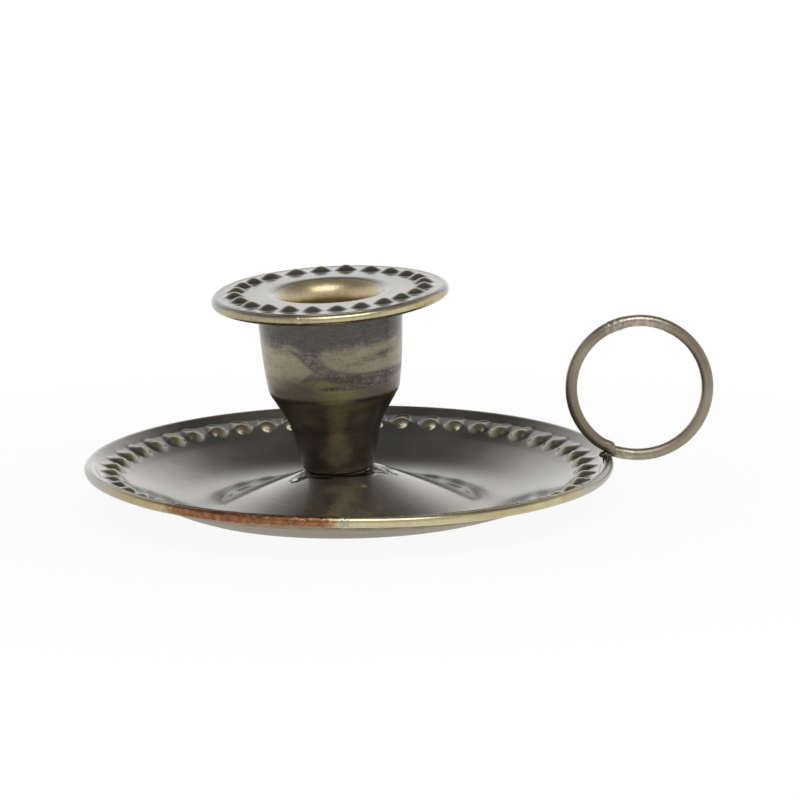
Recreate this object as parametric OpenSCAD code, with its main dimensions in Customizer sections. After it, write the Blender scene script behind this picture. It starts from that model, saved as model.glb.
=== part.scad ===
// Chamberstick: a beaded drip pan, a candle cup with a beaded drip collar, and a finger ring.
// Everything is sheet and wire, brazed together, so nothing moves.
// The table is at Z = 0, the pan's axis is the Z axis and the finger ring is on the +X side.

/* [Drip pan] */
// Outer diameter of the pan over its rim wire
pan_d = 135; // [115:1:160]
// Height of the pan's rim wire above the table, to the wire's centre
pan_rim_h = 11.2; // [10:0.1:15]
// Thickness of the pan's sheet
pan_t = 0.8; // [0.6:0.1:1]
// Height of the raised boss under the candle cup
boss_h = 9.5; // [6:0.1:12]
// Flat land of the boss around the foot of the cup
boss_land = 0.8; // [0.4:0.1:2]
// Radius where the cone of the boss comes down to the table
rest_in_r = 32.6; // [28:0.1:33.5]
// Radius where the dish's side leaves the table, before its bend
rest_out_r = 41.7; // [41:0.1:44]
// Width of the sloping flange that carries the beads
flange_w = 6.5; // [6:0.1:8]
// Slope of the flange, in degrees
flange_slope = 17; // [10:1:22]
// Height of the step between the dish and the flange
step_h = 2.2; // [1.6:0.1:2.6]
// Width of the step between the dish and the flange
step_w = 2.6; // [2:0.1:4]

/* [Beads] */
// Number of beads around the pan
pan_beads = 51; // [36:1:60]
// Width of a pan bead at its foot
pan_bead_w = 5.2; // [4:0.1:5.6]
// Height of a pan bead
pan_bead_h = 1.8; // [0.8:0.1:1.9]
// Distance from the pan's outer edge in to the middle of its beads
pan_bead_inset = 7.4; // [6.6:0.1:8]
// Place of the first pan bead, in degrees from the ring's side
pan_first_bead = 75.9; // [0:0.1:360]
// Number of beads around the drip collar
collar_beads = 24; // [16:1:28]
// Width of a collar bead at its foot
collar_bead_w = 5.6; // [4:0.1:5.8]
// Height of a collar bead
collar_bead_h = 1.5; // [0.8:0.1:1.8]
// Distance from the collar's outer edge in to the middle of its beads
collar_bead_inset = 6; // [5.6:0.1:6.6]
// Place of the first collar bead, in degrees from the ring's side
collar_first_bead = 94.9; // [0:0.1:360]

/* [Rim wires] */
// Diameter of the wire around the pan and the collar
rim_wire_d = 2.7; // [2.4:0.1:3.2]
// How far the pan's wire stands above the middle of the flange's outer end
pan_wire_lift = 0.2; // [0:0.1:0.5]
// Slope of the pan's lip, where the flange turns up onto the wire, in degrees
lip_slope = 45; // [35:1:55]
// How far a wire lies below the upper face of the sheet that laps onto it
wire_sink = 0.15; // [0:0.05:0.2]

/* [Candle cup] */
// Height of the cup from its foot to the collar
cup_h = 45.8; // [40:0.1:60]
// Thickness of the cup's sheet
cup_t = 0.8; // [0.6:0.1:1]
// Radius of the cup's foot
cup_foot_r = 8.9; // [8:0.1:11]
// Radius of the cup at its waist, where the taper steepens
waist_r = 11.9; // [11.4:0.1:12.6]
// Height of the waist above the foot
waist_h = 12.6; // [10:0.1:14]
// Radius of the cup at its shoulder
shoulder_r = 16.75; // [15.5:0.05:17.2]
// Height of the shoulder above the foot
shoulder_h = 20.9; // [19:0.1:23]
// Radius of the cup just above the shoulder
belly_r = 17.75; // [17.4:0.05:18.2]
// Height of that place above the foot
belly_h = 27.9; // [26:0.1:32]
// Radius of the cup under the collar
cup_top_r = 18.8; // [18.3:0.1:20]
// Lean of the cup away from the finger ring, in degrees
cup_lean_side = 2.2; // [0:0.1:4]
// Lean of the cup towards the front, in degrees
cup_lean_front = 1.8; // [0:0.1:4]
// Distance of the cup's foot from the pan's centre, away from the finger ring
cup_shift = 2.4; // [0:0.1:3]

/* [Drip collar] */
// Outer diameter of the collar over its rim wire
collar_d = 60; // [58:1:70]
// Thickness of the collar's sheet
collar_t = 0.8; // [0.6:0.1:1]
// Diameter of the candle
candle_d = 22; // [20:0.5:24]
// Gap between the candle and the neck, all round
candle_gap = 0.25; // [0.1:0.05:0.5]
// Length of the neck that holds the candle, from the top of the collar
neck_l = 17; // [10:0.5:24]
// Radius of the rounded throat at the top of the neck
throat_r = 5; // [1.2:0.1:5]

/* [Finger ring] */
// Outer diameter of the finger ring
ring_d = 37.8; // [30:0.1:45]
// Diameter of the ring's wire
ring_wire_d = 3; // [2.5:0.1:4]
// Place where the ring rests on the pan's rim, in degrees from straight down
ring_touch_angle = 25; // [10:1:45]

/* [Brazed and welded joints] */
// Gap between the two ends of a bent wire, filled by its weld
butt_gap = 0.8; // [0.4:0.1:1.4]
// How far a butt weld stands proud of its wire
weld_proud = 0.25; // [0.1:0.05:0.4]
// Place of the weld in the pan's rim wire, in degrees from the ring's side
pan_weld_angle = 269; // [200:1:340]
// Place of the weld in the collar's rim wire, in degrees from the ring's side
collar_weld_angle = 255; // [0:1:359]
// Place of the weld in the finger ring, in degrees from the outer side
ring_weld_angle = 109.5; // [60:0.5:180]
// Width of the braze that runs out from the cup's foot
foot_braze_w = 1.6; // [1:0.1:2.5]
// Height of the braze around the cup's foot
foot_braze_h = 2.2; // [1.4:0.1:3]
// Thickness of the braze seam between a sheet's edge and its rim wire
seam_d = 1.4; // [1:0.1:1.8]
// Width of the braze under the collar, around the top of the cup
collar_braze_w = 1.4; // [0.8:0.1:2.4]
// Diameter of the braze between the finger ring and the pan's rim
ring_braze_d = 5; // [4:0.1:6]

/* [Hidden] */

// Bend radii on the outside of each sheet
boss_bend = 2.5;
rest_in_bend = 6;
step_in_bend = 4;
step_out_bend = 3;
lip_bend = 2.5;
foot_bend = 1.4;
waist_bend = 14;
shoulder_bend = 3.5;
// Flat ring left on the table between the bends on both sides of it
rest_flat_w = 1;
// Straight run left between the bends of the shoulder and the belly
belly_run = 0.1;
// Thickness left at the edge of a sheet, where its wire is let into it
edge_left = 0.3;
// How far the flats along a bend may lie from its true curve
bend_error = 0.015;

// Colours of the metals
sheet_colour = "#6b6558";
wire_colour = "#a08c5c";
ring_colour = "#8d8070";
braze_colour = "#b5a37a";

// Lines through a profile, from its corners
function unit(v) = v / norm(v);
function left(v) = [-v[1], v[0]];
function turned(v, a) = [v[0] * cos(a) - v[1] * sin(a), v[0] * sin(a) + v[1] * cos(a)];
function place(corner) = [corner[0], corner[1]];

// Turn at corner p, in degrees, the reach of a bend on each side of it, and the radius for a reach
function turn_at(a, p, b) = let (u = unit(p - a), w = unit(b - p)) abs(atan2(cross(u, w), u * w));
function bend_reach(a, p, b, r) = r * tan(turn_at(a, p, b) / 2);
function bend_radius(a, p, b, reach) = reach / tan(max(turn_at(a, p, b), 0.2) / 2);

// A bend of radius r at corner p, as points, each with the direction across the sheet there
function bend(a, p, b, r) =
    let (
        u = unit(p - a),
        w = unit(b - p),
        turn = atan2(cross(u, w), u * w),
        side = sign(turn),
        steps = max(2, ceil(abs(turn) / (2 * acos(1 - bend_error / r)))),
        centre = p - u * r * tan(abs(turn) / 2) + left(u) * side * r
    )
    [for (k = [0:steps]) let (n = turned(left(u), turn * k / steps)) [centre - side * r * n, n]];

// The line through corners [radius, height, bend radius]
function line_through(corners) =
    let (
        last = len(corners) - 1,
        first_run = unit(place(corners[1]) - place(corners[0])),
        last_run = unit(place(corners[last]) - place(corners[last - 1]))
    )
    concat(
        [[place(corners[0]), left(first_run)]],
        [for (i = [1:last - 1])
            each bend(place(corners[i - 1]), place(corners[i]), place(corners[i + 1]), corners[i][2])],
        [[place(corners[last]), left(last_run)]]
    );

// The same line moved across the sheet by a distance
function across(line, distance) = [for (q = line) q[0] + distance * q[1]];
function reversed(points) = [for (i = [len(points) - 1:-1:0]) points[i]];

// Section of a sheet whose outer face follows a line
module sheet_section(line, thickness) {
    polygon(concat(across(line, 0), reversed(across(line, thickness))));
}

// A sheet that runs in direction u laps onto a wire: the line of its lower face, its end, and the
// place where this face meets the wire
rim_wire_r = rim_wire_d / 2;
function lap(thickness) = rim_wire_r + wire_sink - thickness;
function leg(height) = sqrt(rim_wire_r * rim_wire_r - height * height);
function lap_point(wire, u, thickness, back) = wire + lap(thickness) * left(u) - back * u;
function lap_end(wire, u, thickness) = lap_point(wire, u, thickness, leg(lap(edge_left)));
function lap_seam(wire, u, thickness) = lap_point(wire, u, thickness, leg(lap(thickness)));

// Pan: its outer face, from the centre out, is the face seen from below
pan_wire_ring_r = pan_d / 2 - rim_wire_r;
pan_wire = [pan_wire_ring_r, pan_rim_h];
pan_edge_r = pan_wire_ring_r - rim_wire_r / 3;
pan_edge_z = pan_rim_h - pan_wire_lift - pan_t / cos(flange_slope) / 2;
flange_in_r = pan_edge_r - flange_w;
flange_in_z = pan_edge_z - flange_w * tan(flange_slope);
step_in_r = flange_in_r - step_w;
step_in_z = flange_in_z - step_h;
boss_r = cup_foot_r + boss_land;

// The lip starts where its line crosses the line of the flange
lip_way = [cos(lip_slope), sin(lip_slope)];
lip_out = lap_point(pan_wire, lip_way, pan_t, 0);
lip_rise = lip_out[1] - pan_edge_z - (lip_out[0] - pan_edge_r) * tan(flange_slope);
lip_in = lip_out - lip_way * lip_rise / (lip_way[1] - lip_way[0] * tan(flange_slope));

boss_corner = [boss_r, boss_h - pan_t];
rest_in = [rest_in_r, 0];
rest_out = [rest_out_r, 0];
step_in = [step_in_r, step_in_z];
rest_out_reach = rest_out_r - rest_in_r - rest_flat_w
    - bend_reach(boss_corner, rest_in, rest_out, rest_in_bend);
pan_line = line_through([
    [0, boss_h - pan_t],
    [boss_r, boss_h - pan_t, boss_bend],
    [rest_in_r, 0, rest_in_bend],
    [rest_out_r, 0, bend_radius(rest_in, rest_out, step_in, rest_out_reach)],
    [step_in_r, step_in_z, step_in_bend],
    [flange_in_r, flange_in_z, step_out_bend],
    [lip_in[0], lip_in[1], lip_bend],
    lap_end(pan_wire, lip_way, pan_t)
]);

// Beads are caps of a ball, and the ball's centre lies under the sheet
function ball_r(width, height) = (width * width / 4 + height * height) / (2 * height);
pan_ball_r = ball_r(pan_bead_w, pan_bead_h);
pan_ball_depth = pan_ball_r - pan_bead_h;
pan_bead_r = pan_d / 2 - pan_bead_inset;
flange_top_z = pan_edge_z - (pan_edge_r - pan_bead_r) * tan(flange_slope) + pan_t / cos(flange_slope);
pan_ball_centre = [
    pan_bead_r + pan_ball_depth * sin(flange_slope),
    flange_top_z - pan_ball_depth * cos(flange_slope)
];

// Cup: its outer face, from the middle of its foot up
waist = [waist_r, waist_h];
shoulder = [shoulder_r, shoulder_h];
belly = [belly_r, belly_h];
belly_reach = norm(belly - shoulder) - belly_run - bend_reach(waist, shoulder, belly, shoulder_bend);
cup_line = line_through([
    [0, 0],
    [cup_foot_r, 0, foot_bend],
    [waist_r, waist_h, waist_bend],
    [shoulder_r, shoulder_h, shoulder_bend],
    [belly_r, belly_h, bend_radius(shoulder, belly, [cup_top_r, cup_h], belly_reach)],
    [cup_top_r, cup_h]
]);

// The leaning foot is lifted until its low side clears the boss
cup_lean = acos(cos(cup_lean_side) * cos(cup_lean_front));
foot_lift = cup_foot_r * sin(cup_lean);

// Collar: its outer face, from the lower end of the neck up and out to the edge
bore_r = candle_d / 2 + candle_gap;
neck_r = bore_r + collar_t;
collar_top = cup_h + collar_t;
collar_wire_ring_r = collar_d / 2 - rim_wire_r;
collar_wire_z = collar_top - wire_sink - rim_wire_r;
collar_wire = [collar_wire_ring_r, collar_wire_z];
collar_line = line_through([
    [neck_r, collar_top - neck_l],
    [neck_r, cup_h, throat_r - collar_t],
    lap_end(collar_wire, [1, 0], collar_t)
]);
collar_ball_r = ball_r(collar_bead_w, collar_bead_h);
collar_ball_centre = [collar_d / 2 - collar_bead_inset, collar_top + collar_bead_h - collar_ball_r];

// Finger ring: it stands on the outside of the pan's rim wire
ring_wire_r = ring_wire_d / 2;
ring_r = ring_d / 2 - ring_wire_r;
ring_reach = ring_r + ring_wire_r + rim_wire_r;
ring_x = pan_wire_ring_r + ring_reach * sin(ring_touch_angle);
ring_z = pan_rim_h + ring_reach * cos(ring_touch_angle);
touch_x = pan_wire_ring_r + rim_wire_r * sin(ring_touch_angle);
touch_z = pan_rim_h + rim_wire_r * cos(ring_touch_angle);

module revolve() {
    rotate_extrude($fn = 96) children();
}

module ball(r) {
    sphere(r = r, $fn = 48);
}

// A wire bent into a ring, with a gap between its two ends
module wire_ring(ring_r, wire_r, weld_angle) {
    gap_angle = butt_gap / ring_r * 180 / PI;
    rotate([0, 0, weld_angle + gap_angle / 2])
        rotate_extrude(angle = 360 - gap_angle, $fn = 96)
            translate([ring_r, 0])
                circle(r = wire_r, $fn = 32);
}

// The weld that fills this gap, with the section that its children draw
module weld_in_ring(ring_r, weld_angle) {
    gap_angle = butt_gap / ring_r * 180 / PI;
    rotate([0, 0, weld_angle - gap_angle / 2])
        rotate_extrude(angle = gap_angle, $fn = 96)
            children();
}

// Balls in a circle, one for each bead
module bead_balls(count, first, centre, r) {
    for (i = [0:count - 1])
        rotate([0, 0, first + i * 360 / count])
            translate([centre[0], 0, centre[1]])
                ball(r);
}

// A sheet with its beads: balls that start inside the sheet, along a line, and are hollow from below
module beaded_sheet(inside_line, thickness, count, first, centre, r) {
    last = len(inside_line) - 1;
    top = centre[1] + 2 * r;
    difference() {
        union() {
            revolve() children();
            intersection() {
                bead_balls(count, first, centre, r);
                revolve()
                    polygon(concat(inside_line, [[inside_line[last][0], top], [inside_line[0][0], top]]));
            }
        }
        bead_balls(count, first, centre, r - thickness);
    }
}

module pan_section() {
    difference() {
        sheet_section(pan_line, pan_t);
        translate(pan_wire)
            circle(r = rim_wire_r, $fn = 32);
    }
}

module collar_section() {
    difference() {
        sheet_section(collar_line, collar_t);
        translate(collar_wire)
            circle(r = rim_wire_r, $fn = 32);
    }
}

// Braze in the corner under a sheet's edge, with flats that just clear its wire
module seam_section(corner, wire) {
    flats = 48;
    difference() {
        translate(corner)
            circle(d = seam_d, $fn = 12);
        translate(wire)
            polygon([for (k = [1:flats]) turned([rim_wire_r / cos(180 / flats), 0], k * 360 / flats)]);
        children();
    }
}

module pan_seam_section() {
    seam_section(lap_seam(pan_wire, lip_way, pan_t), pan_wire)
        pan_section();
}

module collar_seam_section() {
    seam_section(lap_seam(collar_wire, [1, 0], collar_t), collar_wire)
        collar_section();
}

// The space that the cup fills, with its hollow closed
module cup_solid() {
    revolve()
        polygon(concat(across(cup_line, 0), [[0, cup_h]]));
}

// The leaning place of the cup and the collar, from the middle of the cup's foot
module on_cup_axis() {
    translate([-cup_shift, 0, boss_h + foot_lift])
        rotate([cup_lean_front, -cup_lean_side, 0])
            children();
}

module drip_pan() {
    half = pan_t / cos(flange_slope) / 2;
    inside_line = [
        [step_in_r, step_in_z + half],
        [flange_in_r, flange_in_z + half],
        [pan_edge_r, pan_edge_z + half]
    ];
    color(sheet_colour)
        beaded_sheet(inside_line, pan_t, pan_beads, pan_first_bead, pan_ball_centre, pan_ball_r)
            pan_section();
}

module pan_rim_wire() {
    color(wire_colour)
        translate([0, 0, pan_rim_h])
            wire_ring(pan_wire_ring_r, rim_wire_r, pan_weld_angle);
}

module pan_rim_weld() {
    color(braze_colour)
        weld_in_ring(pan_wire_ring_r, pan_weld_angle)
            difference() {
                translate(pan_wire)
                    circle(r = rim_wire_r + weld_proud, $fn = 32);
                pan_section();
                pan_seam_section();
            }
}

module pan_rim_braze() {
    color(braze_colour)
        revolve()
            pan_seam_section();
}

module candle_cup() {
    color(sheet_colour)
        on_cup_axis()
            revolve()
                sheet_section(cup_line, cup_t);
}

// Braze fills the wedge under the leaning foot and runs out over the boss
module foot_braze() {
    slope = foot_braze_w / foot_braze_h;
    depth = foot_lift + foot_braze_h;
    color(braze_colour)
        difference() {
            translate([-cup_shift, 0, boss_h - depth])
                cylinder(
                    h = depth + foot_lift + foot_braze_h,
                    r1 = cup_foot_r + (depth + foot_lift + foot_braze_h) * slope,
                    r2 = cup_foot_r,
                    $fn = 96
                );
            on_cup_axis()
                cup_solid();
            revolve()
                polygon(concat(across(pan_line, pan_t), [[pan_edge_r, -1], [0, -1]]));
        }
}

module drip_collar() {
    half = cup_h + collar_t / 2;
    inside_line = [[bore_r + throat_r, half], [collar_wire_ring_r - rim_wire_r, half]];
    color(sheet_colour)
        on_cup_axis()
            beaded_sheet(
                inside_line, collar_t, collar_beads, collar_first_bead, collar_ball_centre, collar_ball_r
            )
                collar_section();
}

module collar_rim_wire() {
    color(wire_colour)
        on_cup_axis()
            translate([0, 0, collar_wire_z])
                wire_ring(collar_wire_ring_r, rim_wire_r, collar_weld_angle);
}

module collar_rim_weld() {
    color(braze_colour)
        on_cup_axis()
            weld_in_ring(collar_wire_ring_r, collar_weld_angle)
                difference() {
                    translate(collar_wire)
                        circle(r = rim_wire_r + weld_proud, $fn = 32);
                    collar_section();
                    collar_seam_section();
                }
}

module collar_rim_braze() {
    color(braze_colour)
        on_cup_axis()
            revolve()
                collar_seam_section();
}

module collar_braze() {
    color(braze_colour)
        on_cup_axis()
            revolve()
                difference() {
                    polygon([
                        [cup_top_r - collar_braze_w, cup_h],
                        [cup_top_r - collar_braze_w, cup_h - collar_braze_w],
                        [cup_top_r, cup_h - collar_braze_w],
                        [cup_top_r + collar_braze_w, cup_h]
                    ]);
                    polygon(concat(across(cup_line, 0), [[0, cup_h]]));
                }
}

// The upright place of the finger ring
module on_ring_axis() {
    translate([ring_x, 0, ring_z])
        rotate([90, 0, 0])
            children();
}

module finger_ring() {
    color(ring_colour)
        on_ring_axis()
            wire_ring(ring_r, ring_wire_r, ring_weld_angle);
}

module ring_weld() {
    color(ring_colour)
        on_ring_axis()
            weld_in_ring(ring_r, ring_weld_angle)
                translate([ring_r, 0])
                    circle(r = ring_wire_r + weld_proud, $fn = 32);
}

module ring_braze() {
    color(braze_colour)
        difference() {
            translate([touch_x, 0, touch_z])
                ball(ring_braze_d / 2);
            finger_ring();
            pan_rim_wire();
            revolve()
                polygon(concat(across(pan_line, pan_t), [pan_wire, [pan_wire_ring_r, -1], [0, -1]]));
        }
}

drip_pan();
pan_rim_wire();
pan_rim_weld();
pan_rim_braze();
candle_cup();
foot_braze();
drip_collar();
collar_rim_wire();
collar_rim_weld();
collar_rim_braze();
collar_braze();
finger_ring();
ring_weld();
ring_braze();
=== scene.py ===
import math

import bpy
import numpy as np
from mathutils import Matrix, Vector


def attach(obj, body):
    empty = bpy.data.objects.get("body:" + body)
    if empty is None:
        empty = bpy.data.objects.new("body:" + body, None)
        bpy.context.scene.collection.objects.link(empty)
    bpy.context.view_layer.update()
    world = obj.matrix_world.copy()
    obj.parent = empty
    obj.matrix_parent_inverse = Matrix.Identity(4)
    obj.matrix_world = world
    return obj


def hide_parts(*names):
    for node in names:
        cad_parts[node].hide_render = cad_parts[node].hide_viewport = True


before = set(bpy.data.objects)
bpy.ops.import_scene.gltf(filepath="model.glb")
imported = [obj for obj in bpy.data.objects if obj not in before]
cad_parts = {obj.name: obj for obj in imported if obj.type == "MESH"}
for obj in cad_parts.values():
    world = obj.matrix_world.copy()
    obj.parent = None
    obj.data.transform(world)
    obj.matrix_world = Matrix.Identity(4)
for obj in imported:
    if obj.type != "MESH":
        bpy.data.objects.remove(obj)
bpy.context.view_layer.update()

# Sizes of the object in millimetres, the same as in the part's own source
MM = 0.001
PAN_D = 135.0
PAN_RIM_H = 11.2
PAN_T = 0.8
BOSS_H = 9.5
BOSS_LAND = 0.8
REST_IN_R = 32.6
REST_OUT_R = 41.7
REST_FLAT_W = 1.0
FLANGE_W = 6.5
FLANGE_SLOPE = math.radians(17.0)
STEP_H = 2.2
STEP_W = 2.6
PAN_BEADS = 51
PAN_BEAD_INSET = 7.4
COLLAR_BEADS = 24
COLLAR_BEAD_INSET = 6.0
RIM_WIRE_R = 1.35
PAN_WIRE_LIFT = 0.2
LIP_SLOPE = math.radians(45.0)
WIRE_SINK = 0.15
CUP_H = 45.8
CUP_T = 0.8
CUP_FOOT_R = 8.9
WAIST = (11.9, 12.6)
SHOULDER = (16.75, 20.9)
BELLY = (17.75, 27.9)
BELLY_BEND = 150.8
CUP_TOP_R = 18.8
CUP_LEAN_SIDE = math.radians(2.2)
CUP_LEAN_FRONT = math.radians(1.8)
CUP_SHIFT = 2.4
COLLAR_D = 60.0
COLLAR_T = 0.8
BORE_R = 11.25
NECK_L = 17.0
THROAT_R = 5.0
RING_D = 37.8
RING_WIRE_R = 1.5
RING_TOUCH = math.radians(25.0)

# Places along the welds and the first beads, in degrees from the ring's side
PAN_BEAD_TURN = 75.9
COLLAR_BEAD_TURN = 94.9
PAN_WELD_TURN = 269.0
COLLAR_WELD_TURN = 255.0
RING_WELD_TURN = 110.5

# Sizes that follow from them
PAN_WIRE_RING_R = PAN_D / 2 - RIM_WIRE_R
PAN_EDGE_R = PAN_WIRE_RING_R - RIM_WIRE_R / 3
PAN_EDGE_Z = PAN_RIM_H - PAN_WIRE_LIFT - PAN_T / math.cos(FLANGE_SLOPE) / 2
FLANGE_IN_R = PAN_EDGE_R - FLANGE_W
FLANGE_IN_Z = PAN_EDGE_Z - FLANGE_W * math.tan(FLANGE_SLOPE)
PAN_BEAD_R = PAN_D / 2 - PAN_BEAD_INSET
COLLAR_TOP = CUP_H + COLLAR_T
COLLAR_WIRE_RING_R = COLLAR_D / 2 - RIM_WIRE_R
COLLAR_WIRE_Z = COLLAR_TOP - WIRE_SINK - RIM_WIRE_R
COLLAR_BEAD_R = COLLAR_D / 2 - COLLAR_BEAD_INSET
LAP_R = RIM_WIRE_R + WIRE_SINK
RING_R = RING_D / 2 - RING_WIRE_R
RING_REACH = RING_R + RING_WIRE_R + RIM_WIRE_R
RING_X = PAN_WIRE_RING_R + RING_REACH * math.sin(RING_TOUCH)
RING_Z = PAN_RIM_H + RING_REACH * math.cos(RING_TOUCH)
CUP_LEAN = math.acos(math.cos(CUP_LEAN_SIDE) * math.cos(CUP_LEAN_FRONT))
FOOT_Z = BOSS_H + CUP_FOOT_R * math.sin(CUP_LEAN)

# The leaning place of the cup and collar, and the upright place of the ring, in metres
CUP_PLACE = (
    Matrix.Translation(Vector((-CUP_SHIFT, 0, FOOT_Z)) * MM)
    @ Matrix.Rotation(-CUP_LEAN_SIDE, 4, "Y")
    @ Matrix.Rotation(CUP_LEAN_FRONT, 4, "X")
)
RING_PLACE = Matrix.Translation(Vector((RING_X, 0, RING_Z)) * MM) @ Matrix.Rotation(math.pi / 2, 4, "X")


# Lines and profiles

def unit(v):
    return v / np.hypot(v[0], v[1])


def left(v):
    return np.array([-v[1], v[0]])


def turned(v, angle):
    c, s = math.cos(angle), math.sin(angle)
    return np.array([v[0] * c - v[1] * s, v[0] * s + v[1] * c])


def rounded_line(corners, spacing, turn_step=math.radians(4)):
    """Points and left normals along a line through corners (radius, height, bend radius)."""
    at = [np.array(corner[:2], float) for corner in corners]
    line = [(at[0], left(unit(at[1] - at[0])))]
    for i in range(1, len(corners) - 1):
        into = unit(at[i] - at[i - 1])
        out = unit(at[i + 1] - at[i])
        turn = math.atan2(into[0] * out[1] - into[1] * out[0], into @ out)
        side = math.copysign(1.0, turn)
        radius = corners[i][2]
        centre = at[i] - into * radius * math.tan(abs(turn) / 2) + left(into) * side * radius
        steps = max(2, math.ceil(abs(turn) / turn_step))
        for k in range(steps + 1):
            normal = turned(left(into), turn * k / steps)
            line.append((centre - side * radius * normal, normal))
    line.append((at[-1], left(unit(at[-1] - at[-2]))))
    points = [line[0][0]]
    normals = [line[0][1]]
    for (p, n), (q, m) in zip(line, line[1:]):
        pieces = max(1, math.ceil(math.dist(p, q) / spacing((p[0] + q[0]) / 2)))
        for k in range(1, pieces + 1):
            share = k / pieces
            points.append(p + (q - p) * share)
            normals.append(unit(n + (m - n) * share))
    return np.array(points), np.array(normals)


def revolved(profile, columns):
    """A grid of points, rows along the profile and columns round the axis."""
    angle = 2 * math.pi * np.arange(columns) / columns
    r = profile[:, 0][:, None]
    z = np.broadcast_to(profile[:, 1][:, None], (len(profile), columns))
    return np.stack([r * np.cos(angle), r * np.sin(angle), z], axis=2)


def polar(grid):
    """Radius and place round the axis, in degrees, of the points of a grid."""
    return np.hypot(grid[..., 0], grid[..., 1]), np.degrees(np.arctan2(grid[..., 1], grid[..., 0])) % 360


# Uneven shapes, all from fixed seeds

def ripple(angle, seed, waves):
    """A smooth uneven wave round a circle of degrees, between about -1 and 1."""
    draw = np.random.default_rng(seed)
    total = np.zeros_like(angle)
    for wave in waves:
        total += draw.uniform(0.5, 1.0) * np.sin(np.radians(wave * angle) + draw.uniform(0, 2 * math.pi))
    return total / len(waves)


def lumps(points, size, seed, waves=18):
    """Smooth lumps of a size in millimetres, between about -1 and 1."""
    draw = np.random.default_rng(seed)
    total = np.zeros(points.shape[:-1])
    for _ in range(waves):
        way = draw.normal(size=3)
        way *= 2 * math.pi * draw.uniform(0.7, 1.3) / (size * np.linalg.norm(way))
        total += np.sin(points @ way + draw.uniform(0, 2 * math.pi))
    return total / math.sqrt(waves)


def away(angle, place):
    """Degrees from a place round a circle, between -180 and 180."""
    return (angle - place + 180) % 360 - 180


def near(angle, place, width):
    """1 at a place round a circle, falling smoothly to 0 over a width in degrees."""
    return np.exp(-(away(angle, place) / width) ** 2)


def smooth(value, low, high):
    """0 below low and 1 above high, smooth between."""
    share = np.clip((value - low) / (high - low), 0, 1)
    return share * share * (3 - 2 * share)


def between(value, low, high, edge):
    return smooth(value, low - edge, low + edge) * (1 - smooth(value, high - edge, high + edge))


def stretch(angle, first, last, edge):
    """1 along a stretch of a circle from first to last degrees, with soft ends."""
    half = ((last - first) % 360) / 2
    return 1 - smooth(np.abs(away(angle, first + half)), half - edge, half + edge)


def round_about(angle, turns, values, width=9):
    """Values given at some degrees round a circle, with smooth changes between them."""
    table = np.interp(np.arange(360), turns, values, period=360)
    window = np.hanning(2 * width + 3)
    table = np.convolve(np.tile(table, 3), window / window.sum(), "same")[360:720]
    return np.interp(angle, np.arange(360), table, period=360)


def press_beads(grid, count, first_turn, middle_r, height, reach, power, seed, tail=0.0, drift=lambda turn: 0 * turn):
    """Presses up a circle of beads. Reach is inwards, outwards and sideways, and power is the
    steepness of the inner and outer side. A bead with a tail falls outwards in a straight slope that
    narrows by that share. Each bead is a little uneven."""
    draw = np.random.default_rng(seed)
    uneven = draw.uniform(-1, 1, (3, count))
    r, angle = polar(grid)
    angle = angle - drift(angle)
    pitch = 360 / count
    which = np.round((angle - first_turn) / pitch).astype(int) % count
    turn = first_turn + which * pitch + 0.35 * uneven[0][which]
    aside = np.radians(away(angle, turn)) * r / reach[2]
    out = r - middle_r - 0.15 * uneven[1][which]
    along = out / np.where(out > 0, reach[1], reach[0])
    dome = np.clip(1 - along ** 2 - aside ** 2, 0, 1)
    outward = 0.5 + 0.5 * along / (np.hypot(along, aside) + 0.001)
    steepness = power[0] + (power[1] - power[0]) * outward
    rise = dome ** steepness
    if tail:
        u = np.clip(along, 0, 1)
        slope = 1 - (np.hypot(u, 0.12) - 0.12) / (math.hypot(1, 0.12) - 0.12)
        side = np.clip(1 - (aside / (1 - tail * u)) ** 2, 0, 1)
        rise = np.where(out > 0, slope ** 1.2 * side ** (power[0] + (power[1] - power[0] + 1) * u), dome ** power[0])
    grid[..., 2] += height * (1 + 0.08 * uneven[2][which]) * rise
    return rise


def tuck(grid, rows, wire, end):
    """Turns the rows of a sheet that laps onto a wire down into it, past a section angle in degrees."""
    part = grid[rows:]
    r, angle = polar(part)
    across, up = r - wire[0], part[..., 2] - wire[1]
    reach = np.hypot(across, up)
    section = np.degrees(np.arctan2(up, across))
    dive = smooth(end(angle) - section, 0, 7)
    scale = (reach + (RIM_WIRE_R - 0.25 - reach) * dive) / reach
    new_r = wire[0] + across * scale
    part[..., 0] *= new_r / r
    part[..., 1] *= new_r / r
    part[..., 2] = wire[1] + up * scale


# Meshes

def mesh_piece(name, grid, place=Matrix(), closed_rows=False, masks=None):
    """A smooth mesh from a grid of points in millimetres that is closed round its columns."""
    rows, columns = grid.shape[:2]
    last = rows if closed_rows else rows - 1
    i = np.arange(last)[:, None]
    j = np.arange(columns)[None, :]
    k = (i + 1) % rows
    m = (j + 1) % columns
    faces = np.stack([i * columns + j, i * columns + m, k * columns + m, k * columns + j], axis=2)
    mesh = bpy.data.meshes.new(name)
    mesh.from_pydata((grid.reshape(-1, 3) * MM).tolist(), [], faces.reshape(-1, 4).tolist())
    mesh.polygons.foreach_set("use_smooth", [True] * len(mesh.polygons))
    for mask, values in (masks or {}).items():
        layer = mesh.attributes.new(mask, "FLOAT", "POINT")
        values = np.broadcast_to(values, grid.shape[:2])
        layer.data.foreach_set("value", np.ascontiguousarray(values, np.float32).ravel())
    mesh.update()
    piece = bpy.data.objects.new(name, mesh)
    bpy.context.scene.collection.objects.link(piece)
    piece.matrix_world = place
    return piece


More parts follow.
